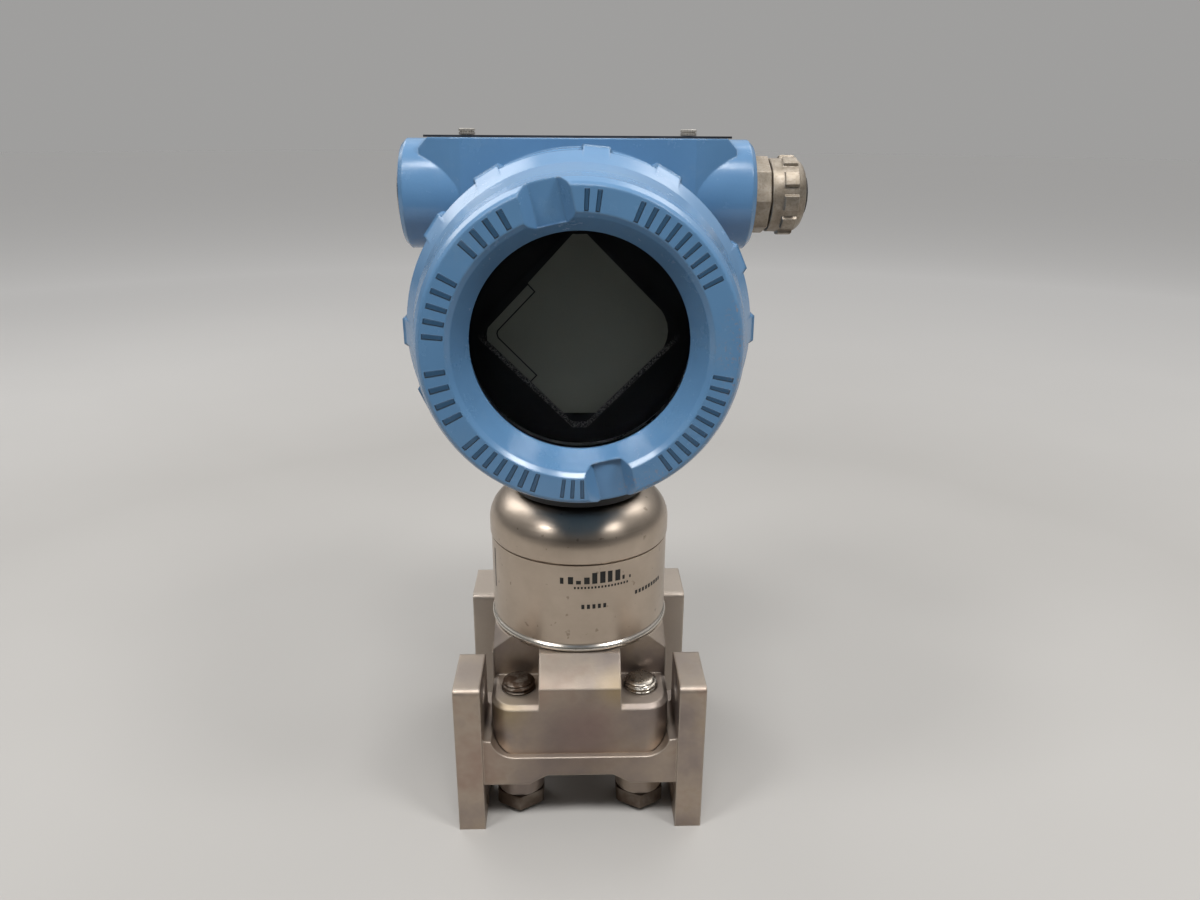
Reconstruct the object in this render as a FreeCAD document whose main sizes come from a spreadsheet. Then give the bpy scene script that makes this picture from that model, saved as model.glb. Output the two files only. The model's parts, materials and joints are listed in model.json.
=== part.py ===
"""Differential pressure transmitter: round two-compartment housing on a welded sensor can,
cast module base and H-shaped process flange. Millimetres, +Z up, display towards -Y.
The origin lies on the module axis, in the plane of the flange's four feet."""

import FreeCAD, Part
import math
import os

import Sketcher

V = FreeCAD.Vector

DRIVING = {
    # process flange
    "plate_height": 54.8, "plate_outer": 40.8, "plate_thick": 8.7, "plate_inner_depth": 19.8,
    "flange_half_depth": 42.8, "bridge_half_depth": 41.2, "seat_height": 27.5, "bridge_bottom": 17.0,
    "arch_top": 20.5, "arch_half": 11.0, "web_top": 34.0, "base_gap": 0.3, "spine_half": 11.0,
    "boss_radius": 8.1, "boss_bottom": 7.2, "boss_blend": 5.0, "plate_round": 2.0,
    # bolting pattern and process ports
    "bolt_across": 41.3, "port_pitch": 54.0, "bolt_radius": 5.55, "bolt_clearance": 0.4,
    "thread_fit": 0.05, "stub_top": 49.3, "bolt_chamfer": 0.9, "head_across": 15.9,
    "head_height": 6.4, "tapped_radius": 4.95, "port_radius": 5.7, "port_depth": 10.6,
    "drill_point": 3.4, "passage_radius": 1.2, "passage_depth": 34.6, "passage_height": 23.0,
    # module base
    "base_half_width": 29.5, "base_half_depth": 39.2, "base_corner": 8.0, "ear_top": 45.8,
    "ear_round": 1.4, "rib_half": 13.4, "wall_depth": 20.0, "base_top": 60.8,
    "can_fit": 0.1, "base_spigot_top": 64.0,
    "chamber_radius": 9.2, "chamber_depth": 1.4, "seal_outer": 11.3, "seal_inner": 9.9,
    "seal_thick": 1.6, "diaphragm_radius": 9.7, "diaphragm_thick": 0.8,
    # sensor can
    "can_radius": 30.8, "can_top": 108.0, "can_shoulder": 10.4, "shoulder_land": 1.6,
    "can_wall": 2.3, "can_roof": 2.0,
    "lip_rise": 0.2, "lip_top": 63.4, "band_sink": 0.8, "band_thick": 0.4, "band_bottom": 64.4,
    "band_top": 92.4, "cell_radius": 16.0, "cell_top": 84.5, "board_radius": 23.0,
    "board_thick": 1.6, "header_top": 95.0,
    # neck
    "neck_radius": 15.9, "neck_bore": 9.5, "neck_top": 129.0, "neck_fit": 0.05, "neck_foot": 18.5,
    "collar_radius": 22.0, "collar_top": 116.4,
    # housing
    "axis_height": 172.3, "barrel_radius": 46.2, "barrel_half": 38.8, "spigot_radius": 42.4,
    "spigot_half": 49.6, "chamber_bore": 37.6, "partition_front": 6.0, "partition_back": 9.0,
    "hub_rise": 32.3, "hub_radius": 16.2, "hub_half_span": 52.5, "hub_round": 1.4,
    "conduit_radius": 10.3, "conduit_depth": 18.5, "wireway_radius": 4.6,
    "deck_rise": 48.7, "deck_half_length": 46.4, "deck_end_half": 11.4, "deck_waist": 34.0,
    "deck_half_depth": 16.4, "deck_chamfer": 3.0, "boss_neck_radius": 21.0,
    "boss_neck_bottom": 116.8, "boss_overlap": 4.1, "neck_floor": 129.4,
    # covers
    "cover_gap": 0.8, "skirt_radius": 45.9, "skirt_length": 9.8, "lug_rise": 1.3,
    "lug_length": 8.2, "lug_width": 6.8, "lug_flank": 1.5, "nose_fall": 3.6,
    "nose_length": 6.4, "rear_nose_fall": 3.9, "rear_nose_length": 3.8,
    "lug_near": 18.0, "lug_far": 42.0,
    "face_plane": 74.5, "ring_radius": 39.6, "ring_edge": 0.8, "waist_radius": 40.6,
    "window_radius": 27.8, "bevel_radius": 31.5, "bevel_edge": 1.2, "lip_plane": 65.6,
    "lip_thick": 0.8, "glass_radius": 32.0, "glass_thick": 6.0, "gasket_thick": 1.0,
    "retainer_thick": 2.4, "retainer_step": 2.2, "cover_inner": 36.4, "notch_width": 12.4,
    "notch_floor": 7.0, "notch_depth": 4.4, "notch_inner": 30.2, "notch_at": 102.5, "rear_plane": 57.4,
    "rear_wall": 5.0, "dish_radius": 29.0, "dish_depth": 1.2, "oring_section": 1.4,
    "oring_squeeze": 0.3,
    # display and electronics
    "module_radius": 36.9, "module_front": 22.0, "display_radius": 33.0, "display_front": 48.0,
    "display_wall": 2.0, "display_face": 3.2, "glyph_half": 25.6, "glyph_corner": 2.0,
    "ridge_half": 29.0, "ridge_wide": 1.6, "ridge_rise": 0.9, "panel_half": 27.6,
    "panel_thick": 2.6, "small_screw": 1.5, "small_head": 2.6, "small_head_thick": 2.2,
    "screw_spread": 29.8, "display_screw_offset": 21.6,
    # terminal side
    "block_thick": 9.0, "terminal_pitch": 14.0, "terminal_head": 3.6, "terminal_shank": 2.0,
    "barrier_rise": 6.0,
    # top plate, buttons
    "label_thick": 0.6, "label_half_length": 44.6, "label_half_width": 12.4, "pivot_x": 33.4,
    "top_screw": 1.6, "top_head": 2.5, "top_head_thick": 1.9, "slide_gap": 0.05,
    "button_x": 11.0, "button_radius": 3.6, "button_fit": 0.08, "button_well": 8.6,
    "button_height": 4.2, "button_inset": 0.2, "spring_radius": 2.3, "spring_wire": 0.35,
    # cable gland and plug
    "thread_gap": 0.05, "gland_across": 21.6, "gland_hex_length": 5.7, "gland_spigot": 9.2,
    "gland_thread": 9.0, "gland_thread_length": 13.1, "gland_bore": 6.7, "cap_gap": 0.4,
    "cap_length": 10.8, "cap_radius": 11.0, "cap_lug_rise": 1.0, "cap_mouth": 6.9, "cap_fit": 0.06,
    "rubber_outer": 6.5, "rubber_bore": 5.0, "rubber_depth": 13.8, "rubber_rise": 0.5,
    "plug_rise": 1.3, "plug_radius": 9.6, "plug_across": 9.5, "plug_socket": 6.0, "plug_length": 14.0,
    "set_screw": 2.5, "set_screw_height": 121.6,
}

doc = FreeCAD.newDocument("transmitter")
sheet = doc.addObject("Spreadsheet::Sheet", "sizes")
for row, (alias, number) in enumerate(DRIVING.items(), start=1):
    sheet.set(f"A{row}", alias)
    sheet.set(f"B{row}", str(number))
    sheet.setAlias(f"B{row}", alias)
doc.recompute()


class Dim:
    """A length worked out from the sheet: its value now and the expression that keeps it bound."""

    def __init__(self, value, text):
        self.value = value
        self.text = text

    def __add__(self, other):
        other = dim(other)
        return Dim(self.value + other.value, f"({self.text} + {other.text})")

    def __sub__(self, other):
        other = dim(other)
        return Dim(self.value - other.value, f"({self.text} - {other.text})")

    def __mul__(self, other):
        other = dim(other)
        return Dim(self.value * other.value, f"({self.text} * {other.text})")

    def __truediv__(self, other):
        other = dim(other)
        return Dim(self.value / other.value, f"({self.text} / {other.text})")

    def __radd__(self, other):
        return dim(other) + self

    def __rsub__(self, other):
        return dim(other) - self

    def __rmul__(self, other):
        return dim(other) * self

    def __neg__(self):
        return Dim(-self.value, f"(-1 * {self.text})")


def dim(number):
    return number if isinstance(number, Dim) else Dim(float(number), repr(float(number)))


class Sizes:
    """Reads a driving dimension from the sheet by its alias."""

    def __getattr__(self, alias):
        return Dim(float(getattr(sheet, alias)), f"sizes.{alias}")


S = Sizes()


def least(first, second):
    """The smaller of two sizes, still bound to the sheet."""
    return Dim(min(first.value, second.value),
               f"(({first.text} < {second.text}) ? {first.text} : {second.text})")


HUB_HEIGHT = S.axis_height + S.hub_rise
DECK_HEIGHT = S.axis_height + S.deck_rise
BOSS_TOP = S.axis_height - S.chamber_bore + S.boss_overlap

TURNS = {
    "+z": (V(0, 0, 1), 0), "-z": (V(1, 0, 0), 180),
    "+x": (V(0, 1, 0), 90), "-x": (V(0, 1, 0), -90),
    "+y": (V(1, 0, 0), -90), "-y": (V(1, 0, 0), 90),
}


def place(obj, at, toward="+z", spin=0):
    """Turn an object's own +Z toward a direction, spin it about that axis, and bind its position."""
    axis, angle = TURNS[toward]
    turn = FreeCAD.Rotation(axis, angle).multiply(FreeCAD.Rotation(V(0, 0, 1), spin))
    obj.Placement = FreeCAD.Placement(V(0, 0, 0), turn)
    for letter, value in zip("xyz", at):
        obj.setExpression(f".Placement.Base.{letter}", dim(value).text)
    return obj


def bind(obj, **lengths):
    for name, value in lengths.items():
        obj.setExpression(name, dim(value).text)
    return obj


def cylinder(name, radius, length, at=(0, 0, 0), toward="+z", spin=0):
    obj = bind(doc.addObject("Part::Cylinder", name), Radius=radius, Height=length)
    return place(obj, at, toward, spin)


def cone(name, radius, end_radius, length, at=(0, 0, 0), toward="+z"):
    obj = doc.addObject("Part::Cone", name)
    return place(bind(obj, Radius1=radius, Radius2=end_radius, Height=length), at, toward)


def box(name, x, y, z, toward="+z", spin=0):
    """A block from ranges (low, high) on each axis, spun about the frame's Z if asked."""
    low = [dim(r[0]) for r in (x, y, z)]
    size = [dim(r[1]) - dim(r[0]) for r in (x, y, z)]
    obj = bind(doc.addObject("Part::Box", name), Length=size[0], Width=size[1], Height=size[2])
    return place(obj, low, toward, spin)


def hexagon(name, across, length, at=(0, 0, 0), toward="+z", spin=0):
    obj = doc.addObject("Part::Prism", name)
    obj.Polygon = 6
    bind(obj, Circumradius=dim(across) / math.sqrt(3), Height=length)
    return place(obj, at, toward, spin)


def facetted(name, radius, length, at):
    """A small twelve-sided pillar."""
    obj = doc.addObject("Part::Prism", name)
    obj.Polygon = 12
    return place(bind(obj, Circumradius=radius, Height=length), at)


PLANES = {"xy": (V(0, 0, 1), 0), "xz": (V(1, 0, 0), 90), "yz": (V(1, 1, 1), 120)}


def outline(name, points, plane):
    """A closed polygon sketch, every corner held by a pair of bound distances."""
    sketch = doc.addObject("Sketcher::SketchObject", name + "_outline")
    axis, angle = PLANES[plane]
    sketch.Placement = FreeCAD.Placement(V(0, 0, 0), FreeCAD.Rotation(axis, angle))
    corners = [(dim(u), dim(v)) for u, v in points]
    for i, (u, v) in enumerate(corners):
        nu, nv = corners[(i + 1) % len(corners)]
        sketch.addGeometry(Part.LineSegment(V(u.value, v.value, 0), V(nu.value, nv.value, 0)), False)
    for i, (u, v) in enumerate(corners):
        sketch.addConstraint(Sketcher.Constraint("Coincident", i, 2, (i + 1) % len(corners), 1))
        for kind, value in (("DistanceX", u), ("DistanceY", v)):
            held = sketch.addConstraint(Sketcher.Constraint(kind, i, 1, value.value))
            sketch.setExpression(f"Constraints[{held}]", value.text)
    return sketch


def prism(name, points, plane, length, at=(0, 0, 0), toward="+z", spin=0):
    """A polygon pushed out along its plane's normal: +Z for xy, -Y for xz, +X for yz."""
    obj = doc.addObject("Part::Extrusion", name)
    obj.Base = outline(name, points, plane)
    obj.DirMode = "Normal"
    obj.Solid = True
    return place(bind(obj, LengthFwd=length), at, toward, spin)


def turned(name, points, at=(0, 0, 0), toward="+z"):
    """A solid of revolution from (radius, distance along the axis) points."""
    obj = doc.addObject("Part::Revolution", name)
    obj.Source = outline(name, points, "xz")
    obj.Axis = V(0, 0, 1)
    obj.Base = V(0, 0, 0)
    obj.Angle = 360
    obj.Solid = True
    return place(obj, at, toward)


def ring(name, outer, inner, start, end, at=(0, 0, 0), toward="+z"):
    return turned(name, [(inner, start), (outer, start), (outer, end), (inner, end)], at, toward)


def fuse(name, *parts):
    obj = doc.addObject("Part::MultiFuse", name)
    obj.Shapes = list(parts)
    obj.Refine = True
    return obj


def common(name, *parts):
    obj = doc.addObject("Part::MultiCommon", name)
    obj.Shapes = list(parts)
    return obj


def cut(name, base, *tools):
    """One base less its tools; several tools are gathered first."""
    obj = doc.addObject("Part::Cut", name)
    obj.Base = base
    obj.Tool = tools[0] if len(tools) == 1 else fuse(name + "_tools", *tools)
    obj.Refine = True
    return obj


def mirrored(name, source, normal):
    obj = doc.addObject("Part::Mirroring", name)
    obj.Source = source
    obj.Normal = normal
    return obj


def group(name, *parts):
    obj = doc.addObject("Part::Compound", name)
    obj.Links = list(parts)
    return obj


def eased(name, source, size, wanted, bevel=False):
    """Round, or bevel, the edges of a source whose shape the test accepts."""
    doc.recompute()
    obj = doc.addObject("Part::Chamfer" if bevel else "Part::Fillet", name)
    obj.Base = source
    chosen = [i for i, edge in enumerate(source.Shape.Edges, start=1) if wanted(edge)]
    obj.Edges = [(i, size.value, size.value) for i in chosen]
    return obj


def node(label, obj):
    obj.Label = label
    NODES.append(obj)
    return obj


def near(a, b, slack=0.01):
    return abs(a - b) < slack


def spans(edge, axis):
    """The low and high of an edge along X, Y or Z."""
    bounds = edge.BoundBox
    return getattr(bounds, axis.upper() + "Min"), getattr(bounds, axis.upper() + "Max")


NODES = []
half_across = S.bolt_across / 2
half_pitch = S.port_pitch / 2
CORNERS = [(sx, sy) for sx in (1, -1) for sy in (1, -1)]


# process flange: four plates, two bridges with bolt bosses, and a spine between the bridges
def flange_plate():
    inner = S.plate_outer - S.plate_thick
    blank = box("plate_blank", (inner, S.plate_outer), (-S.flange_half_depth, -S.plate_inner_depth),
                (0, S.plate_height))

    def top_ends(edge):
        return near(min(spans(edge, "z")), S.plate_height.value) and near(*spans(edge, "y"))

    return eased("plate", blank, S.plate_round, top_ends)


def flange_bridge():
    """The right half of the front bridge, with its boss, up to the module base's rounded corner."""
    reach = S.plate_outer - S.plate_thick + 1.5
    deep = half_pitch - S.boss_radius - S.boss_blend - 0.8
    low = prism("bridge_low", [
        (0, S.arch_top), (S.arch_half, S.arch_top), (S.arch_half + 6, S.bridge_bottom),
        (reach, S.bridge_bottom), (reach, S.seat_height), (0, S.seat_height),
    ], "xz", S.bridge_half_depth - deep, at=(0, -deep, 0))
    boss = cylinder("boss", S.boss_radius, S.seat_height - S.boss_bottom - 1,
                    (half_across, -half_pitch, S.boss_bottom))
    flare = cone("boss_flare", S.boss_radius, S.boss_radius + S.boss_blend, S.boss_blend,
                 (half_across, -half_pitch, S.arch_top - S.boss_blend))
    start = S.base_half_width - S.base_corner
    rim = cut("bridge_rim",
              box("rim_block", (start, reach), (-S.bridge_half_depth, -deep),
                  (S.seat_height - 1, S.web_top)),
              cylinder("rim_arc", S.base_corner, S.bridge_half_depth - deep + 2,
                       (start, -(S.bridge_half_depth + 1), S.seat_height + S.base_corner), "+y"))
    inner = S.plate_outer - S.plate_thick
    gusset = cut("gusset",
                 box("gusset_block", (inner - 1.5, inner + 0.5),
                     (-S.bridge_half_depth, -S.plate_inner_depth - 0.5), (S.web_top, S.web_top + 1.5)),
                 cylinder("gusset_round", 1.5, S.bridge_half_depth,
                          (inner - 1.5, -(S.bridge_half_depth + 1), S.web_top + 1.5), "+y"))
    return fuse("bridge", low, boss, flare, rim, gusset)


def base_plan(name, growth, bottom, top):
    """The module base's rounded rectangle, grown by a clearance."""
    width = S.base_half_width + growth
    depth = S.base_half_depth + growth
    corner = S.base_corner + growth
    parts = [
        box(name + "_wide", (-width, width), (-(depth - corner), depth - corner), (bottom, top)),
        box(name + "_deep", (-(width - corner), width - corner), (-depth, depth), (bottom, top)),
    ]
    for sx, sy in CORNERS:
        parts.append(cylinder(name + "_corner", corner, dim(top) - bottom,
                              (sx * (width - corner), sy * (depth - corner), bottom)))
    return fuse(name, *parts)


def process_flange():
    quarter = fuse("quarter", flange_plate(), flange_bridge())
    half = fuse("half", quarter, mirrored("quarter_left", quarter, V(1, 0, 0)))
    deep = half_pitch - S.boss_radius - 4
    spine = box("spine", (-S.spine_half, S.spine_half), (-deep, deep), (S.arch_top, S.seat_height))
    solid = fuse("flange_solid", half, mirrored("half_rear", half, V(0, 1, 0)), spine)
    tools = [base_plan("pocket", S.base_gap, S.seat_height, S.web_top + 4)]
    rise = S.seat_height - S.passage_height
    port_y = (S.flange_half_depth + S.plate_inner_depth) / 2
    for sy in (1, -1):
        tools.append(cylinder("cavity", S.chamber_radius, S.chamber_depth + 0.5,
                              (0, sy * half_pitch, S.seat_height - S.chamber_depth)))
        tools.append(cylinder("riser", S.passage_radius, rise,
                              (0, sy * S.passage_depth, S.passage_height)))
        run = S.plate_outer - S.port_depth + 1
        tools.append(cylinder("passage", S.passage_radius, run * 2,
                              (-run, sy * S.passage_depth, S.passage_height), "+x"))
    for sx, sy in CORNERS:
        tools.append(cylinder("bolt_hole", S.bolt_radius + S.bolt_clearance, S.seat_height,
                              (sx * half_across, sy * half_pitch, 1)))
        toward = "-x" if sx > 0 else "+x"
        face = (sx * (S.plate_outer + 1), sy * port_y)
        tools.append(turned("port", [
            (0, 0), (S.port_radius, 0), (S.port_radius, S.port_depth + 1),
            (0, S.port_depth + S.drill_point + 1),
        ], (*face, S.seat_height), toward))
        tools.append(cylinder("tapped_top", S.tapped_radius, S.plate_thick + 2,
                              (*face, S.seat_height + half_across), toward))
        tools.append(cylinder("tapped_low", S.tapped_radius, S.plate_thick + 2,
                              (*face, S.seat_height - half_across), toward))
    node("process_flange", cut("process_flange", solid, *tools))


# module base: an eared block under a turned 45-degree shoulder
def module_base():
    plan = base_plan("ears_blank", 0, S.seat_height, S.ear_top)
    ears = eased("ears", plan, S.ear_round, lambda edge: near(min(spans(edge, "z")), S.ear_top.value),
                 bevel=True)
    rim = S.can_radius
    depth = S.base_half_depth
    slope_foot = S.base_top - (depth - rim)
    rib = prism("rib", [
        (-depth, S.ear_top - 5), (depth, S.ear_top - 5), (depth, slope_foot), (rim, S.base_top),
        (-rim, S.base_top), (-depth, slope_foot),
    ], "yz", S.rib_half * 2, (-S.rib_half, 0, 0))
    block = box("block", (-S.base_half_width, S.base_half_width), (-S.wall_depth, S.wall_depth),
                (S.ear_top - 5, S.base_top))
    tall = S.base_top - S.ear_top + 5
    shoulder = cone("shoulder", S.can_radius + tall, S.can_radius, tall, (0, 0, S.ear_top - 5))
    raised = common("raised", block, shoulder)
    spigot = cylinder("spigot", S.can_radius - S.can_wall - S.can_fit, S.base_spigot_top - S.base_top + 2,
                      (0, 0, S.base_top - 2))
    solid = fuse("base_solid", ears, rib, raised, spigot)
    tools = []
    for sx, sy in CORNERS:
        tools.append(cylinder("base_hole", S.bolt_radius + S.thread_fit, S.stub_top,
                              (sx * half_across, sy * half_pitch, S.seat_height - 1)))
    for sy in (1, -1):
        tools.append(cylinder("seal_recess", S.seal_outer + S.thread_fit, S.seal_thick + 1,
                              (0, sy * half_pitch, S.seat_height - 1)))
    node("module_base", cut("module_base", solid, *tools))
    ceiling = S.seat_height + S.seal_thick
    node("isolating_diaphragms", group("isolating_diaphragms", *[
        cylinder("diaphragm", S.diaphragm_radius, S.diaphragm_thick,
                 (0, sy * half_pitch, ceiling - S.diaphragm_thick)) for sy in (1, -1)]))
    node("process_seals", group("process_seals", *[
        ring("process_seal", S.seal_outer, S.seal_inner, S.seat_height, ceiling,
             (0, sy * half_pitch, 0)) for sy in (1, -1)]))


def flange_bolts():
    shank = S.stub_top - S.boss_bottom
    bolts = []
    for sx, sy in CORNERS:
        at = (sx * half_across, sy * half_pitch)
        head = hexagon("bolt_head", S.head_across, S.head_height,
                       (*at, S.boss_bottom - S.head_height))
        stem = turned("bolt_stem", [
            (0, -1), (S.bolt_radius, -1), (S.bolt_radius, shank - S.bolt_chamfer),
            (S.bolt_radius - S.bolt_chamfer, shank), (0, shank),
        ], (*at, S.boss_bottom))
        bolts.append(fuse("bolt", head, stem))
    node("flange_bolts", group("flange_bolts", *bolts))


# sensor can, its wrapped plate, what it holds, and the neck on top
def sensor_can():
    bend = 5
    inner = S.can_radius - S.can_wall
    lip = S.can_radius + S.lip_rise
    seat = S.can_radius - S.band_sink
    turn = least(S.can_shoulder, S.can_radius - S.collar_radius + S.shoulder_land)
    arc = []
    for i in range(bend + 1):
        angle = math.pi / 2 * i / bend
        arc.append((S.can_radius - turn * (1 - math.cos(angle)), S.can_top - turn * (1 - math.sin(angle))))
    inside = S.can_top - turn
    bead = (S.lip_top + S.base_top) / 2
    profile = [
        (inner, S.base_top), (lip - 0.8, S.base_top), (lip, bead),
        (lip - 0.6, S.lip_top), (seat, S.lip_top + 0.6),
        (seat, S.band_top + 0.2), (S.can_radius, S.band_top + 0.7),
    ] + arc + [
        (S.neck_radius + S.neck_fit, S.can_top), (S.neck_radius + S.neck_fit, S.can_top - S.can_roof),
        (inner - turn + 1, S.can_top - S.can_roof), (inner, inside),
    ]
    node("sensor_can", turned("sensor_can", profile))
    wrap = ring("wrap", seat + S.band_thick, seat + S.thread_fit, S.band_bottom, S.band_top)
    gap = cylinder("wrap_gap", S.can_radius + 2, S.can_top, toward="+z", spin=182)
    gap.Angle = 7
    node("module_band", cut("module_band", wrap, gap))


def can_contents():
    node("sensor_cell", turned("sensor_cell", [
        (0, S.base_spigot_top), (S.cell_radius, S.base_spigot_top),
        (S.cell_radius, S.cell_top - 4), (S.cell_radius - 4, S.cell_top), (0, S.cell_top),
    ]))
    board_top = S.cell_top + S.board_thick
    node("sensor_board", cylinder("sensor_board", S.board_radius, S.board_thick, (0, 0, S.cell_top)))
    node("header_connector", box("header_connector", (-7, 7), (-3, 3), (board_top, S.header_top)))
    roof = S.can_top - S.can_roof
    sleeve = S.neck_radius + S.neck_fit
    node("module_neck", turned("module_neck", [
        (S.neck_bore, roof - 2), (S.neck_foot, roof - 2), (S.neck_foot, roof), (S.neck_radius, roof),
        (S.neck_radius, S.neck_top - 1), (S.neck_radius - 1, S.neck_top), (S.neck_bore, S.neck_top),
    ]))
    node("neck_collar", turned("neck_collar", [
        (sleeve, S.can_top), (S.collar_radius - 2.6, S.can_top),
        (S.collar_radius, S.can_top + 1.2), (S.collar_radius, S.collar_top - 0.8),
        (S.collar_radius - 0.8, S.collar_top), (sleeve, S.collar_top),
    ]))


# housing: barrel with two chambers, cross hubs, deck and neck boss
def housing_body():
    barrel = cylinder("barrel", S.barrel_radius, S.barrel_half * 2,
                      (0, -S.barrel_half, S.axis_height), "+y")
    barrel = eased("barrel_eased", barrel, S.ring_edge,
                   lambda edge: near(*spans(edge, "y")), bevel=True)
    spigots = [turned("spigot_" + side, [
        (0, 10), (S.spigot_radius, 10), (S.spigot_radius, S.spigot_half - 1),
        (S.spigot_radius - 1, S.spigot_half), (0, S.spigot_half),
    ], (0, 0, S.axis_height), toward) for side, toward in (("front", "-y"), ("back", "+y"))]
    hub = cylinder("hub", S.hub_radius, S.hub_half_span * 2, (-S.hub_half_span, 0, HUB_HEIGHT), "+x")
    hub = eased("hub_eased", hub, S.hub_round, lambda edge: near(*spans(edge, "x")), bevel=True)
    edge = S.deck_half_length
    half = [(edge, -S.deck_end_half), (edge, S.deck_end_half), (S.deck_waist + 3, S.deck_half_depth - 1),
            (S.deck_waist, S.deck_half_depth)]
    plan = [(u, v) for u, v in half] + [(-u, v) for u, v in reversed(half[1:])]
    plan = plan + [(-u, -v) for u, v in half[1:]] + [(u, -v) for u, v in reversed(half[2:])]
    deck = prism("deck", plan, "xy", DECK_HEIGHT - HUB_HEIGHT + 4, (0, 0, HUB_HEIGHT - 4))
    deck = eased("deck_eased", deck, S.deck_chamfer, lambda e: near(
        min(spans(e, "z")), DECK_HEIGHT.value) and near(*spans(e, "x")), bevel=True)
    boss = cone("neck_boss", S.boss_neck_radius, S.boss_neck_radius + 3, BOSS_TOP - S.boss_neck_bottom,
                (0, 0, S.boss_neck_bottom))
    return fuse("housing_solid", barrel, *spigots, hub, deck, boss)


def housing_tools():
    axis = (0, 0, S.axis_height)
    tools = [
        cylinder("front_chamber", S.chamber_bore, S.spigot_half - S.partition_front + 1,
                 (0, -(S.spigot_half + 1), S.axis_height), "+y"),
        cylinder("back_chamber", S.chamber_bore, S.spigot_half - S.partition_back + 1,
                 (0, S.spigot_half + 1, S.axis_height), "-y"),
        cylinder("neck_socket", S.neck_radius + S.neck_fit, S.neck_floor - S.boss_neck_bottom + 1,
                 (0, 0, S.boss_neck_bottom - 1)),
        cylinder("wire_hole", S.wireway_radius, BOSS_TOP - S.neck_floor + 4.6,
                 (0, -9, S.neck_floor - 1)),
    ]
    groove = S.barrel_half + S.cover_gap
    small_hole = S.small_screw + S.thread_fit
    for side, toward in (("front", "-y"), ("back", "+y")):
        tools.append(ring("oring_groove_" + side, S.spigot_radius + 1,
                          S.spigot_radius - S.oring_squeeze - S.oring_section,
                          groove, groove + S.oring_section + 0.2, axis, toward))
    for sx in (1, -1):
        toward = "-x" if sx > 0 else "+x"
        tools.append(cylinder("conduit", S.conduit_radius, S.conduit_depth + 1,
                              (sx * (S.hub_half_span + 1), 0, HUB_HEIGHT), toward))
        way = cylinder("conduit_way", S.wireway_radius, 30,
                       (sx * (S.hub_half_span - S.conduit_depth + 3), 3, HUB_HEIGHT))
        way.Placement.Rotation = FreeCAD.Rotation(V(0, 0, 1), V(-sx, 0.9, -0.25))
        tools.append(way)
        tools.append(cylinder("button_well", S.button_radius + S.button_fit, S.button_well + 1,
                              (sx * S.button_x, 0, DECK_HEIGHT - S.button_well)))
        tools.append(cylinder("top_screw_hole", S.top_screw + S.thread_fit, 7,
                              (sx * S.pivot_x, 0, DECK_HEIGHT - 6)))
        tools.append(cylinder("module_screw_hole", small_hole, 9,
                              (0, -(S.partition_front + 1), S.axis_height + sx * S.screw_spread), "+y"))
        tools.append(cylinder("block_screw_hole", small_hole, 9,
                              (sx * S.screw_spread, S.partition_back + 1, S.axis_height), "-y"))
    tools.append(cylinder("set_screw_hole", S.set_screw + S.thread_fit, 10,
                          (-(S.boss_neck_radius + 3), 0, S.set_screw_height), "+x"))
    return tools


def housing():
    node("housing", cut("housing", housing_body(), *housing_tools()))
    inner = S.spigot_radius - S.oring_squeeze - S.oring_section
    start = S.barrel_half + S.cover_gap + 0.1
    for label, toward in (("front_seal", "-y"), ("rear_seal", "+y")):
        half = S.oring_section / 2
        node(label, turned(label, [
            (inner, start), (inner + half, start), (inner + half * 2, start + half),
            (inner + half, start + half * 2), (inner, start + half * 2),
        ], (0, 0, S.axis_height), toward))
    node("rotation_set_screw", cylinder(
        "rotation_set_screw", S.set_screw, S.boss_neck_radius - S.neck_radius - 1,
        (-(S.boss_neck_radius - 0.4), 0, S.set_screw_height), "+x"))


def ring_lugs(name, start, fall, reach):
    """Twelve grip lugs round a cover skirt, each with a sloping nose, in pairs off the notch axis."""
    lugs = []
    root = S.skirt_radius - 1
    tip = S.skirt_radius + S.lug_rise
    half = S.lug_width / 2
    shoulder = start + S.lug_length
    for sector in range(0, 360, 60):
        for offset in (S.lug_near, S.lug_far):
            angle = S.notch_at.value + sector + offset.value
            lugs.append(prism(name + "_lug", [
                (root, -(half + S.lug_flank)), (tip, -half), (tip, half), (root, half + S.lug_flank),
            ], "xy", S.lug_length, (0, 0, start), spin=angle))
            nose = prism(name + "_nose", [
                (root - 2, shoulder - 2), (tip, shoulder - 2), (tip, shoulder - S.lug_flank / 2),
                (tip - fall, shoulder + reach), (root - 2, shoulder + reach),
            ], "xz", S.lug_width, (0, half, 0))
            lugs.append(place(group(name + "_nose_turned", nose), (0, 0, 0), "+z", spin=angle))
    return lugs


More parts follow.
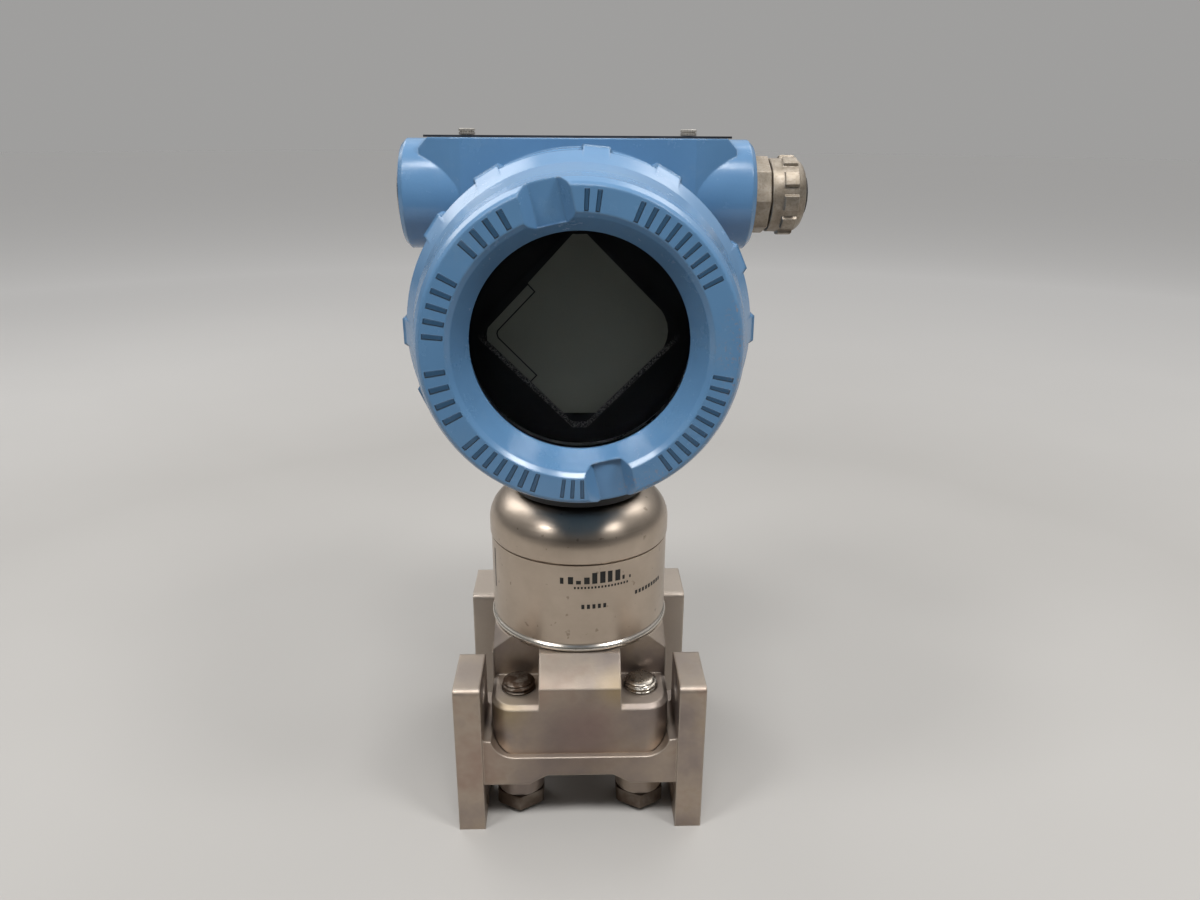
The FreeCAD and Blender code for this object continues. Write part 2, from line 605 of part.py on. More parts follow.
def display_cover():
    start = S.barrel_half + S.cover_gap
    thread = S.spigot_radius + S.neck_fit
    skirt_end = start + S.skirt_length
    shelf = S.lip_plane - S.lip_thick
    glass_back = shelf - S.gasket_thick - S.glass_thick
    retained = glass_back - S.retainer_thick
    pocket = S.glass_radius + 0.2
    seat = S.glass_radius + S.retainer_step
    fall = (S.skirt_radius - S.waist_radius) / 10
    reach = (S.face_plane - skirt_end) / 10
    profile = [
        (thread, start), (S.skirt_radius - 0.5, start), (S.skirt_radius, start + 0.5),
        (S.skirt_radius, skirt_end), (S.skirt_radius - fall * 5, skirt_end + reach * 2.4),
        (S.skirt_radius - fall * 8.4, skirt_end + reach * 5.4),
        (S.waist_radius, skirt_end + reach * 8.8),
        (S.ring_radius, S.face_plane - S.ring_edge), (S.ring_radius - S.ring_edge, S.face_plane),
        (S.bevel_radius + S.bevel_edge, S.face_plane), (S.bevel_radius, S.face_plane - S.bevel_edge),
        (S.window_radius, S.lip_plane), (S.window_radius, shelf), (pocket, shelf),
        (pocket, glass_back), (seat, glass_back), (seat, retained), (S.cover_inner, retained),
        (S.cover_inner, S.spigot_half + 0.4), (thread, S.spigot_half + 0.4),
    ]
    body = turned("cover_turned", profile)
    lugged = fuse("cover_lugged", body, *ring_lugs("cover", start, S.nose_fall, S.nose_length))
    notches = []
    for half_turn in (0, 180):
        outer, floor = S.notch_width / 2, S.notch_floor / 2
        cutter = prism("cover_notch", [
            (-outer, S.face_plane + 0.1), (-floor, S.face_plane - S.notch_depth),
            (floor, S.face_plane - S.notch_depth), (outer, S.face_plane + 0.1),
        ], "yz", S.ring_radius, (S.notch_inner, 0, 0))
        turned_cutter = group("cover_notch_turned", cutter)
        notches.append(place(turned_cutter, (0, 0, 0), "+z", spin=S.notch_at.value + half_turn))
    axis = (0, 0, S.axis_height)
    node("display_cover", place(cut("display_cover", lugged, *notches), axis, "-y"))
    node("glass_gasket", ring("glass_gasket", S.glass_radius, S.window_radius + 0.3,
                              shelf - S.gasket_thick, shelf, axis, "-y"))
    node("window_glass", cylinder("window_glass", S.glass_radius, S.glass_thick,
                                  (0, -glass_back, S.axis_height), "-y"))
    holder = ring("holder", seat - S.thread_fit, S.window_radius + 1.4, retained, glass_back)
    slots = [box("holder_slot", (-S.glass_radius * 2, S.glass_radius * 2), (-1.2, 1.2),
                 (retained - 1, retained + 1.2))]
    node("glass_retainer", place(cut("glass_retainer", holder, *slots), axis, "-y"))


def rear_cover():
    start = S.barrel_half + S.cover_gap
    thread = S.spigot_radius + S.neck_fit
    skirt_end = start + S.skirt_length
    inside = S.rear_plane - S.rear_wall
    profile = [
        (thread, start), (S.skirt_radius - 0.5, start), (S.skirt_radius, start + 0.5),
        (S.skirt_radius, skirt_end), (S.ring_radius + 3, skirt_end + 2.6),
        (S.ring_radius + 1, S.rear_plane - 1), (S.ring_radius, S.rear_plane),
        (S.dish_radius + S.dish_depth, S.rear_plane), (S.dish_radius, S.rear_plane - S.dish_depth),
        (0, S.rear_plane - S.dish_depth), (0, inside), (S.cover_inner, inside),
        (S.cover_inner, S.spigot_half + 0.4), (thread, S.spigot_half + 0.4),
    ]
    body = turned("rear_turned", profile)
    lugged = fuse("rear_cover", body, *ring_lugs("rear", start, S.rear_nose_fall, S.rear_nose_length))
    node("rear_cover", place(lugged, (0, 0, S.axis_height), "+y"))


# front chamber: potted electronics with the display plugged on
def diamond(half, corner):
    """A square on its point with cut tips."""
    return [(half - corner, corner), (corner, half - corner), (-corner, half - corner),
            (corner - half, corner), (corner - half, -corner), (-corner, corner - half),
            (corner, corner - half), (half - corner, -corner)]


def electronics():
    axis = (0, 0, S.axis_height)
    back = S.partition_front
    potted = turned("potted", [
        (0, back), (S.module_radius, back), (S.module_radius, S.module_front - 1),
        (S.module_radius - 1, S.module_front), (0, S.module_front),
    ])
    sink = S.small_head_thick + 0.6
    tools = []
    for side in (1, -1):
        tools.append(cylinder("module_bore", S.small_screw + S.thread_fit, S.module_front,
                              (0, side * S.screw_spread, back - 1)))
        tools.append(cylinder("module_sink", S.small_head + 0.2, sink + 1,
                              (0, side * S.screw_spread, S.module_front - sink)))
        tools.append(cylinder("display_bore", S.small_screw + S.thread_fit, 8,
                              (side * S.display_screw_offset, S.display_screw_offset,
                               S.module_front - 7)))
    node("electronics_module", place(cut("electronics_module", potted, *tools), axis, "-y"))
    node("module_screws", group("module_screws", *[
        machine_screw("module_screw", S.small_screw, S.small_head, S.small_head_thick,
                      S.module_front - sink - back + 6,
                      (0, -(S.module_front - sink), S.axis_height + side * S.screw_spread), "-y")
        for side in (1, -1)]))


def machine_screw(name, radius, head, thick, length, at, toward):
    """A slotted cheese-head screw: seat of the head at the given point, head toward the direction."""
    turned_part = turned(name + "_body", [
        (0, -length), (radius, -length), (radius, 0), (head, 0), (head, thick), (0, thick),
    ])
    slot = box(name + "_slot", (-head * 2, head * 2), (-0.3, 0.3), (thick * 0.5, thick * 2))
    return place(cut(name, turned_part, slot), at, toward)


def display():
    axis = (0, 0, S.axis_height)
    back = S.module_front + 0.3
    front = S.display_front
    inner = S.display_radius - S.display_wall
    cup = turned("cup", [
        (0, front), (0, front - S.display_face), (inner, front - S.display_face), (inner, back),
        (S.display_radius, back), (S.display_radius, front - 1), (S.display_radius - 1, front),
    ])
    ridge = prism("ridge", diamond(S.ridge_half, S.glyph_corner), "xy", S.ridge_rise + 0.5,
                  (0, 0, front - 0.5))
    trench = prism("trench", diamond(S.ridge_half - S.ridge_wide, S.glyph_corner), "xy", S.ridge_rise + 1,
                   (0, 0, front))
    opening = prism("opening", diamond(S.glyph_half, S.glyph_corner), "xy", S.display_face + 2,
                    (0, 0, front - S.display_face - 1))
    posts = []
    holes = []
    for side in (1, -1):
        at = (side * S.display_screw_offset, S.display_screw_offset)
        posts.append(cylinder("post", S.small_head, front - back, (*at, back)))
        holes.append(cylinder("post_hole", S.small_screw + S.thread_fit, front, (*at, back - 1)))
    body = cut("display_body", fuse("display_solid", cup, *posts, cut("ridge_frame", ridge, trench)),
               opening, *holes)
    node("display_bezel", place(body, axis, "-y"))
    panel_front = front - S.display_face
    node("lcd_panel", place(prism("lcd_panel", diamond(S.panel_half, S.glyph_corner * 2), "xy",
                                  S.panel_thick), (0, -(panel_front - S.panel_thick), S.axis_height), "-y"))
    board_front = panel_front - S.panel_thick
    board = cylinder("display_plate", inner - 0.3, S.board_thick, (0, 0, board_front - S.board_thick))
    reliefs = [cylinder("plate_relief", S.small_head + 0.2, S.display_front,
                        (side * S.display_screw_offset, S.display_screw_offset, 0)) for side in (1, -1)]
    node("display_board", place(cut("display_board", board, *reliefs), axis, "-y"))
    node("display_screws", group("display_screws", *[
        machine_screw("display_screw", S.small_screw, S.small_head, S.retainer_thick * 0.5,
                      front - S.module_front + 6,
                      (side * S.display_screw_offset, -front, S.axis_height + S.display_screw_offset), "-y")
        for side in (1, -1)]))


# rear chamber: terminal block
def terminals():
    axis = (0, 0, S.axis_height)
    back = S.partition_back
    top = back + S.block_thick
    disc = turned("block_disc", [
        (0, back), (S.module_radius, back), (S.module_radius, top - 1), (S.module_radius - 1, top),
        (0, top),
    ])
    walls = []
    for i in (-1.5, -0.5, 0.5, 1.5):
        middle = S.terminal_pitch * i
        walls.append(box("barrier", (middle - 0.9, middle + 0.9), (-9, 9),
                         (top - 1, top + S.barrier_rise)))
    walls.append(box("barrier_back", (-(S.terminal_pitch * 1.5), S.terminal_pitch * 1.5), (7.4, 9),
                     (top - 1, top + S.barrier_rise)))
    tools = []
    for i in (-1, 0, 1):
        tools.append(cylinder("terminal_bore", S.terminal_shank + S.thread_fit, 7,
                              (S.terminal_pitch * i, 0, top - 6)))
    for side in (1, -1):
        tools.append(cylinder("block_bore", S.small_screw + S.thread_fit, S.block_thick + 2,
                              (side * S.screw_spread, 0, back - 1)))
    solid = cut("terminal_block", fuse("block_solid", disc, *walls), *tools)
    node("terminal_block", place(solid, axis, "+y"))
    node("terminal_screws", group("terminal_screws", *[
        machine_screw("terminal_screw", S.terminal_shank, S.terminal_head, S.terminal_shank * 1.2,
                      dim(5.5), (S.terminal_pitch * i, top, S.axis_height), "+y") for i in (-1, 0, 1)]))
    node("block_screws", group("block_screws", *[
        machine_screw("block_screw", S.small_screw, S.small_head, S.small_head_thick,
                      S.block_thick + 6, (side * S.screw_spread, top, S.axis_height), "+y")
        for side in (1, -1)]))


# deck: swinging plate over two sprung adjustment buttons
def deck_parts():
    deck = DECK_HEIGHT
    low = deck + S.slide_gap
    plate = box("label_blank", (-S.label_half_length, S.label_half_length),
                (-S.label_half_width, S.label_half_width), (low, low + S.label_thick))
    hole = cylinder("label_hole", S.top_screw + S.button_fit, 4, (S.pivot_x, 0, deck - 1))
    entry = S.top_screw + 0.3
    slot = box("label_slot", (-S.pivot_x - entry, -S.pivot_x + entry + 1.4), (0, 30), (deck - 1, deck + 3))
    end = cylinder("label_slot_end", entry, 4, (-S.pivot_x, 0, deck - 1))
    node("top_nameplate", cut("top_nameplate", plate, hole, slot, end))
    seat = low + S.label_thick + S.slide_gap
    node("nameplate_screws", group("nameplate_screws", *[
        machine_screw("top_screw", S.top_screw, S.top_head, S.top_head_thick, seat - deck + 5.5,
                      (side * S.pivot_x, 0, seat), "+z") for side in (1, -1)]))
    for label, side in (("zero", -1), ("span", 1)):
        top = deck - S.button_inset
        node(label + "_button", turned(label + "_button", [
            (0, top - S.button_height), (S.button_radius, top - S.button_height),
            (S.button_radius, top - 0.6), (S.button_radius - 0.6, top), (0, top),
        ], (side * S.button_x, 0, 0)))
        node(label + "_spring", spring(label + "_spring", side * S.button_x,
                                       deck - S.button_well, top - S.button_height))


def spring(name, x, bottom, top):
    """A closed stack of coil rings between two heights, joined by one standing wire."""
    turns = 4
    wire = S.spring_wire
    step = (top - bottom - wire * 2) / (turns - 1)
    coils = []
    for i in range(turns):
        low = bottom + step * i
        coils.append(cut(name + "_coil",
                         facetted(name + "_outer", S.spring_radius + wire, wire * 2, (x, 0, low)),
                         facetted(name + "_inner", S.spring_radius - wire, wire * 4, (x, 0, low - wire))))
    post = box(name + "_post", (x + S.spring_radius - wire, x + S.spring_radius + wire),
               (-wire, wire), (bottom + wire, top - wire))
    return fuse(name, *coils, post)


# hub ends: cable gland on the right, blanking plug on the left
def gland():
    at = (0, 0, HUB_HEIGHT)
    face = S.hub_half_span
    thread = S.conduit_radius - S.thread_gap
    hex_end = face + S.gland_hex_length
    thread_end = face + S.gland_thread_length
    start = hex_end + S.cap_gap
    end = start + S.cap_length
    stem = turned("gland_stem", [
        (S.gland_bore, face - S.gland_spigot), (thread, face - S.gland_spigot), (thread, face),
        (S.gland_across / 2, face), (S.gland_across / 2, hex_end),
        (S.gland_thread, hex_end), (S.gland_thread, thread_end),
        (S.gland_bore, thread_end),
    ])
    nut = hexagon("gland_hex", S.gland_across, S.gland_hex_length, (0, 0, face), spin=30)
    hollow = cylinder("gland_hollow", S.gland_bore, end, (0, 0, 0))
    body = fuse("gland_body", stem, cut("gland_nut", nut, hollow))
    node("gland_body", place(body, at, "+x"))
    node("gland_seal", ring("gland_seal", S.rubber_outer, S.rubber_bore, end - S.rubber_depth,
                            end + S.rubber_rise, at, "+x"))
    bore = S.gland_thread + S.cap_fit
    cap = turned("cap_turned", [
        (bore, start), (S.cap_radius, start), (S.cap_radius, end - 4.4),
        (S.cap_radius - 1.2, end - 1.8), (S.cap_radius - 2.6, end - 0.4),
        (S.cap_radius - 3.4, end), (S.cap_mouth, end), (S.cap_mouth, thread_end + 0.6),
        (bore, thread_end + 0.6),
    ])
    ribs = []
    for i in range(6):
        rib = box("cap_rib", (0, S.cap_radius + S.cap_lug_rise), (-S.cap_radius / 4, S.cap_radius / 4),
                  (start, end - 4.4))
        turn = math.radians(60 * i + 30)
        rib.Placement.Rotation = FreeCAD.Rotation(V(0, 0, 1), math.degrees(turn))
        for letter, value in zip("xy", (math.sin(turn), -math.cos(turn))):
            rib.setExpression(f".Placement.Base.{letter}", (S.cap_radius * (value / 4)).text)
        ribs.append(rib)
    core = cylinder("cap_core", bore, end * 2, (0, 0, 0))
    node("gland_cap", place(fuse("gland_cap", cap, cut("cap_ribs", fuse("ribs", *ribs), core)), at, "+x"))


def conduit_plug():
    face = S.hub_half_span
    thread = S.conduit_radius - S.thread_gap
    end = face + S.plug_rise
    body = turned("plug_body", [
        (0, face - S.plug_length), (thread, face - S.plug_length), (thread, face - 0.6),
        (S.plug_radius, face), (S.plug_radius, end - 0.5), (S.plug_radius - 0.5, end), (0, end),
    ])
    socket = hexagon("plug_socket", S.plug_across, S.plug_socket + 1, (0, 0, end - S.plug_socket))
    node("conduit_plug", place(cut("conduit_plug", body, socket), (0, 0, HUB_HEIGHT), "-x"))


for build in (process_flange, module_base, flange_bolts, sensor_can, can_contents, housing,
              display_cover, rear_cover, electronics, display, terminals, deck_parts, gland,
              conduit_plug):
    build()
doc.recompute()

for obj in doc.Objects:
    if "Invalid" in obj.State or "Error" in obj.State:
        raise RuntimeError(f"{obj.Name} did not build: {obj.State}")
os.makedirs("parts", exist_ok=True)
for obj in NODES:
    if obj.Shape.isNull() or not obj.Shape.isValid():
        raise RuntimeError(f"{obj.Label} has no valid shape")
    obj.Shape.exportStep(f"parts/{obj.Label}.step")
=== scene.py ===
"""Looks for the differential pressure transmitter: materials, fine pieces, stage, light and camera."""

import json
import math

import bpy
from mathutils import Matrix, Vector


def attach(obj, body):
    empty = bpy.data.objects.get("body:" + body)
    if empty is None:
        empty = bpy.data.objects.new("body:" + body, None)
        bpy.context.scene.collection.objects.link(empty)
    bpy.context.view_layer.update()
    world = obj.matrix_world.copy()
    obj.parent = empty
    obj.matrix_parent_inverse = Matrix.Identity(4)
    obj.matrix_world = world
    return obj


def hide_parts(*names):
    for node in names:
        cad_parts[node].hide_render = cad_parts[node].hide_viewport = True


# places and sizes of the CAD part that the fine pieces below are fitted to, in millimetres
MM = 0.001
AXIS_Z = 172.3
HUB_Z = 204.6
BOLT_X, BOLT_Y = 20.65, 27.0
NAMEPLATE_SCREW_X = 33.4
MARK_RADIUS = 30.425
FIELD_Y, GLYPH_Y = -48.03, -48.06

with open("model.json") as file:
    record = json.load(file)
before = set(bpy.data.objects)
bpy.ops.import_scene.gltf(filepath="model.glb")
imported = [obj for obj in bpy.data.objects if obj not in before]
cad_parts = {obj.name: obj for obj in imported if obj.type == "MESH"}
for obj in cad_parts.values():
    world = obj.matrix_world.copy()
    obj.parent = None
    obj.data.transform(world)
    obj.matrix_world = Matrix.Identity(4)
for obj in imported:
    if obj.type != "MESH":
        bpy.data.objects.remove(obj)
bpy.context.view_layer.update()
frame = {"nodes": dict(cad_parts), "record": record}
nodes = frame["nodes"]


# ---------------------------------------------------------------- shader helpers
class Look:
    """One procedural material: a Principled shader fed by object-space patterns."""

    def __init__(self, name):
        self.material = bpy.data.materials.new(name)
        self.material.use_nodes = True
        self.tree = self.material.node_tree
        self.shader = self.tree.nodes["Principled BSDF"]
        self.place = self.tree.nodes.new("ShaderNodeTexCoord").outputs["Object"]

    def node(self, kind, **settings):
        made = self.tree.nodes.new(kind)
        for key, value in settings.items():
            setattr(made, key, value)
        return made

    def join(self, source, target):
        self.tree.links.new(source, target)

    def set(self, **values):
        for key, value in values.items():
            self.shader.inputs[key.replace("_", " ")].default_value = value
        return self

    def stretched(self, scale):
        mapping = self.node("ShaderNodeMapping")
        mapping.inputs["Scale"].default_value = scale
        self.join(self.place, mapping.inputs["Vector"])
        return mapping.outputs["Vector"]

    def noise(self, scale, detail=3.0, rough=0.55, place=None):
        made = self.node("ShaderNodeTexNoise")
        made.inputs["Scale"].default_value = scale
        made.inputs["Detail"].default_value = detail
        made.inputs["Roughness"].default_value = rough
        self.join(place or self.place, made.inputs["Vector"])
        return made.outputs["Fac"]

    def ramp(self, source, *stops):
        made = self.node("ShaderNodeValToRGB")
        points = made.color_ramp.elements
        while len(points) < len(stops):
            points.new(0.5)
        for point, (where, colour) in zip(points, stops):
            point.position = where
            point.color = (*colour, 1)
        self.join(source, made.inputs["Fac"])
        return made.outputs["Color"]

    def level(self, source, low, high, out_low=0.0, out_high=1.0):
        made = self.node("ShaderNodeMapRange", clamp=True)
        for key, value in (("From Min", low), ("From Max", high), ("To Min", out_low), ("To Max", out_high)):
            made.inputs[key].default_value = value
        self.join(source, made.inputs["Value"])
        return made.outputs["Result"]

    def mix(self, factor, first, second):
        made = self.node("ShaderNodeMix", data_type="RGBA")
        for socket, value in zip((made.inputs["Factor"], made.inputs[6], made.inputs[7]),
                                 (factor, first, second)):
            if isinstance(value, bpy.types.NodeSocket):
                self.join(value, socket)
            else:
                socket.default_value = (*value, 1) if isinstance(value, tuple) else value
        return made.outputs[2]

    def math(self, operation, first, second=0.0):
        made = self.node("ShaderNodeMath", operation=operation)
        for socket, value in zip(made.inputs, (first, second)):
            if isinstance(value, bpy.types.NodeSocket):
                self.join(value, socket)
            else:
                socket.default_value = value
        return made.outputs[0]

    def both(self, *values):
        result = values[0]
        for value in values[1:]:
            result = self.math("MULTIPLY", result, value)
        return result

    def either(self, *values):
        result = values[0]
        for value in values[1:]:
            result = self.math("MAXIMUM", result, value)
        return result

    def nearness(self, centre_mm, radius_mm):
        """One at a point of the object, falling to nothing at a radius."""
        offset = self.node("ShaderNodeVectorMath", operation="DISTANCE")
        offset.inputs[1].default_value = tuple(c * MM for c in centre_mm)
        self.join(self.place, offset.inputs[0])
        return self.level(offset.outputs["Value"], 0.0, radius_mm * MM, 1.0, 0.0)

    def along(self, axis):
        """The position along one axis, in millimetres."""
        parts = self.node("ShaderNodeSeparateXYZ")
        self.join(self.place, parts.inputs[0])
        return self.math("DIVIDE", parts.outputs[axis], MM)

    def rounded(self, radius_mm):
        """A normal that rounds sharp edges off, and how near an edge a point is."""
        soft = self.node("ShaderNodeBevel", samples=6)
        soft.inputs["Radius"].default_value = radius_mm * MM
        plain = self.node("ShaderNodeNewGeometry")
        turn = self.node("ShaderNodeVectorMath", operation="DOT_PRODUCT")
        self.join(soft.outputs["Normal"], turn.inputs[0])
        self.join(plain.outputs["Normal"], turn.inputs[1])
        return soft.outputs["Normal"], self.level(turn.outputs["Value"], 0.98, 0.75)

    def finish(self, colour, rough, bumps=(), normal=None):
        self.join(colour, self.shader.inputs["Base Color"])
        self.join(rough, self.shader.inputs["Roughness"])
        for height, strength, distance in bumps:
            made = self.node("ShaderNodeBump")
            made.inputs["Strength"].default_value = strength
            made.inputs["Distance"].default_value = distance * MM
            self.join(height, made.inputs["Height"])
            if normal is not None:
                self.join(normal, made.inputs["Normal"])
            normal = made.outputs["Normal"]
        if normal is not None:
            self.join(normal, self.shader.inputs["Normal"])
        return self.material


# ---------------------------------------------------------------- materials
# groups of plain raised bars round the cover's face: first angle, last angle, number of bars
BAR_GROUPS = [(82, 89, 2), (27, 69, 9), (306, 351, 10), (262, 280, 5), (219, 253, 7), (187, 210, 4),
              (150, 176, 5), (118, 139, 4)]


def raised_bars(look):
    """Plain bars standing on the ring face, in groups, as a height from nothing to one."""
    x, z = look.along("X"), look.math("SUBTRACT", look.along("Z"), AXIS_Z)
    radius = look.math("SQRT", look.math("ADD", look.both(x, x), look.both(z, z)))
    angle = look.math("DEGREES", look.math("ARCTAN2", z, x))
    angle = look.math("FLOORED_MODULO", angle, 360)
    band = look.both(look.level(radius, 33.0, 33.3), look.level(radius, 37.9, 38.2, 1, 0))
    found = None
    for first, last, count in BAR_GROUPS:
        step = (last - first) / (count - 0.45)
        turns = look.math("DIVIDE", look.math("SUBTRACT", angle, first), step)
        beat = look.math("FRACT", turns)
        bar = look.both(look.level(beat, 0.0, 0.08), look.level(beat, 0.34, 0.42, 1, 0))
        inside = look.both(look.level(turns, -0.02, 0.0), look.level(turns, count - 0.4, count - 0.38, 1, 0))
        piece = look.both(bar, inside)
        found = piece if found is None else look.either(found, piece)
    front = look.level(look.along("Y"), -74.2, -74.3)
    return look.both(found, band, front)


def blue_paint():
    look = Look("blue_paint").set(IOR=1.5, Coat_Weight=0.2, Coat_Roughness=0.16)
    normal, edge = look.rounded(0.8)
    colour = look.ramp(look.noise(35, 4), (0.3, (0.094, 0.207, 0.365)), (0.7, (0.113, 0.243, 0.42)))
    # Painted highlight: edges are painted a lighter blue, broken up by noise.
    painted_edge_highlight = look.both(edge, look.level(look.noise(260, 4), 0.4, 0.7, 0, 0.55))
    colour = look.mix(painted_edge_highlight, colour, (0.22, 0.35, 0.50))
    bars = raised_bars(look)
    # Painted shade: the raised bars are darkened as if shadowed along their sides.
    colour = look.mix(look.level(bars, 0.1, 0.6, 0, 0.85), colour, (0.022, 0.06, 0.115))
    dust = look.level(look.noise(90, 6, 0.7), 0.55, 0.8, 0, 0.25)
    colour = look.mix(dust, colour, (0.20, 0.30, 0.40))
    worn = look.level(look.noise(900, 5, 0.7), 0.54, 0.60)
    chips = look.either(look.nearness((39.3, -73, 172), 8), look.nearness((39.8, -73, 181), 7),
                        look.nearness((38.5, -73, 163), 5), look.nearness((12.6, -74, 136), 6),
                        look.nearness((20, -74, 139.5), 5))
    bare = look.both(look.level(chips, 0.0, 0.5), worn, look.level(edge, 0.02, 0.3, 0.3, 1))
    colour = look.mix(bare, colour, (0.30, 0.21, 0.15))
    rough = look.level(look.noise(120, 6, 0.7), 0.5, 0.8, 0.22, 0.36)
    bumps = [(look.noise(700, 2), 0.10, 0.2), (bars, 1.0, 0.8), (bare, 0.6, -0.12)]
    return look.finish(colour, rough, bumps, normal)


def cast_steel():
    look = Look("cast_steel").set(Metallic=0.85, IOR=1.6)
    normal, edge = look.rounded(1.0)
    colour = look.ramp(look.noise(38, 4, 0.6), (0.30, (0.23, 0.19, 0.175)), (0.45, (0.31, 0.255, 0.225)),
                       (0.58, (0.41, 0.335, 0.27)), (0.72, (0.36, 0.265, 0.215)))
    stain = look.level(look.noise(60, 5, 0.65), 0.55, 0.75, 0, 0.45)
    colour = look.mix(stain, colour, (0.30, 0.23, 0.14))
    for place, reach, tint in (
            ((0, -40, 30), 34, (0.17, 0.13, 0.11)), ((-24, -38, 45), 10, (0.34, 0.26, 0.13)),
            ((12, -37, 52), 8, (0.38, 0.28, 0.13)), ((2, -39, 37), 14, (0.22, 0.15, 0.14)),
            ((-14, -36, 50), 7, (0.38, 0.26, 0.19))):
        colour = look.mix(look.level(look.nearness(place, reach), 0, 0.8, 0, 0.6), colour, tint)
    # Painted light: the rear plates are painted lighter, as if lit from above.
    rear_painted_light = look.both(look.level(look.along("Y"), 14, 18), look.level(look.along("Z"), 57, 55))
    colour = look.mix(look.math("MULTIPLY", rear_painted_light, 0.75), colour, (0.55, 0.48, 0.41))
    # Painted light: faces turned upwards are painted lighter.
    painted_top_light_normal = look.node("ShaderNodeSeparateXYZ")
    look.join(look.node("ShaderNodeNewGeometry").outputs["Normal"], painted_top_light_normal.inputs[0])
    colour = look.mix(look.level(painted_top_light_normal.outputs["Z"], 0.5, 0.9, 0, 0.4), colour, (0.62, 0.54, 0.46))
    # Painted highlight: edges are painted lighter.
    colour = look.mix(look.math("MULTIPLY", edge, 0.75), colour, (0.62, 0.54, 0.45))
    rough = look.level(look.noise(300, 4), 0.3, 0.7, 0.40, 0.55)
    bumps = [(look.noise(1500, 4, 0.6), 0.22, 0.12), (look.noise(140, 3), 0.2, 0.3)]
    return look.finish(colour, rough, bumps, normal)


def can_steel():
    look = Look("can_steel").set(Metallic=1.0, Anisotropic=0.55, Anisotropic_Rotation=0.25)
    tangent = look.node("ShaderNodeTangent", direction_type="RADIAL", axis="Z")
    look.join(tangent.outputs[0], look.shader.inputs["Tangent"])
    fine = look.noise(1500, 3, 0.6, look.stretched((0.03, 0.03, 1.6)))
    # Warm tone: partly the steel's own colour, partly a painted reflection of warm brown surroundings.
    colour = look.ramp(look.noise(70, 5, 0.6), (0.3, (0.47, 0.39, 0.315)), (0.7, (0.56, 0.47, 0.385)))
    spots = look.level(look.noise(420, 2, 0.4), 0.70, 0.74, 0, 0.5)
    colour = look.mix(spots, colour, (0.20, 0.15, 0.11))
    # Painted highlight: the rolled seam is painted lighter; it is also made a little smoother.
    bead = look.level(look.along("Z"), 63.5, 63.1)
    colour = look.mix(bead, colour, (0.70, 0.65, 0.58))
    rough = look.math("SUBTRACT", look.level(fine, 0.3, 0.7, 0.30, 0.38), look.math("MULTIPLY", bead, 0.08))
    return look.finish(colour, rough, [(fine, 0.04, 0.04)])


def steel():
    look = Look("steel").set(Metallic=1.0)
    normal, edge = look.rounded(0.2)
    rust = look.both(look.level(look.nearness((-20.65, -27, 47), 12), 0, 0.3),
                     look.level(look.noise(300, 5), 0.25, 0.5, 0.35, 1))
    colour = look.ramp(look.noise(150, 4), (0.3, (0.40, 0.36, 0.31)), (0.7, (0.58, 0.53, 0.46)))
    # Painted highlight: edges are painted lighter.
    colour = look.mix(look.math("MULTIPLY", edge, 0.5), colour, (0.80, 0.76, 0.69))
    # Painted shade: the bolt heads, low down, are darkened in patches as if in shadow; this is joined with
    # the real rust near one bolt and also makes both rougher.
    painted_shade_low = look.level(look.along("Z"), 14, 10)
    rust_and_painted_shade = look.either(rust, look.both(painted_shade_low, look.level(look.noise(90, 4), 0.3, 0.6, 0.6, 0.95)))
    colour = look.mix(rust_and_painted_shade, colour, (0.085, 0.055, 0.038))
    rough = look.math("ADD", look.level(look.noise(500, 3), 0.3, 0.7, 0.2, 0.36),
                      look.math("MULTIPLY", rust_and_painted_shade, 0.35))
    return look.finish(colour, rough, [(look.noise(1200, 3), 0.12, 0.06)], normal)


def nickel():
    look = Look("nickel").set(Metallic=0.75)
    normal, edge = look.rounded(0.35)
    # Painted shade: the lower half of the gland is darkened in patches.
    below = look.level(look.along("Z"), 208, 194)
    patch = look.level(look.noise(220, 5, 0.6), 0.40, 0.62)
    colour = look.ramp(look.noise(320, 4), (0.3, (0.29, 0.245, 0.19)), (0.7, (0.40, 0.35, 0.29)))
    colour = look.mix(look.math("MULTIPLY", look.both(below, patch), 0.6), colour, (0.19, 0.13, 0.085))
    # Painted highlight: edges are painted lighter.
    colour = look.mix(look.math("MULTIPLY", edge, 0.5), colour, (0.66, 0.61, 0.53))
    grit = look.level(look.noise(1400, 4, 0.7), 0.50, 0.62, 0, 0.55)
    colour = look.mix(grit, colour, (0.21, 0.165, 0.12))
    rough = look.level(patch, 0, 1, 0.42, 0.58)
    return look.finish(colour, rough, [(look.noise(900, 4), 0.25, 0.1)], normal)


def simple(name, low, high, rough=(0.4, 0.55), metal=0.0, grain=600, bump=0.15, **settings):
    """A plain finish with a cloudy tone, uneven gloss and a fine grain."""
    look = Look(name).set(Metallic=metal, **settings)
    colour = look.ramp(look.noise(grain / 6, 4), (0.3, low), (0.7, high))
    gloss = look.level(look.noise(grain / 3, 3), 0.3, 0.7, *rough)
    return look.finish(colour, gloss, [(look.noise(grain, 3), bump, 0.08)])


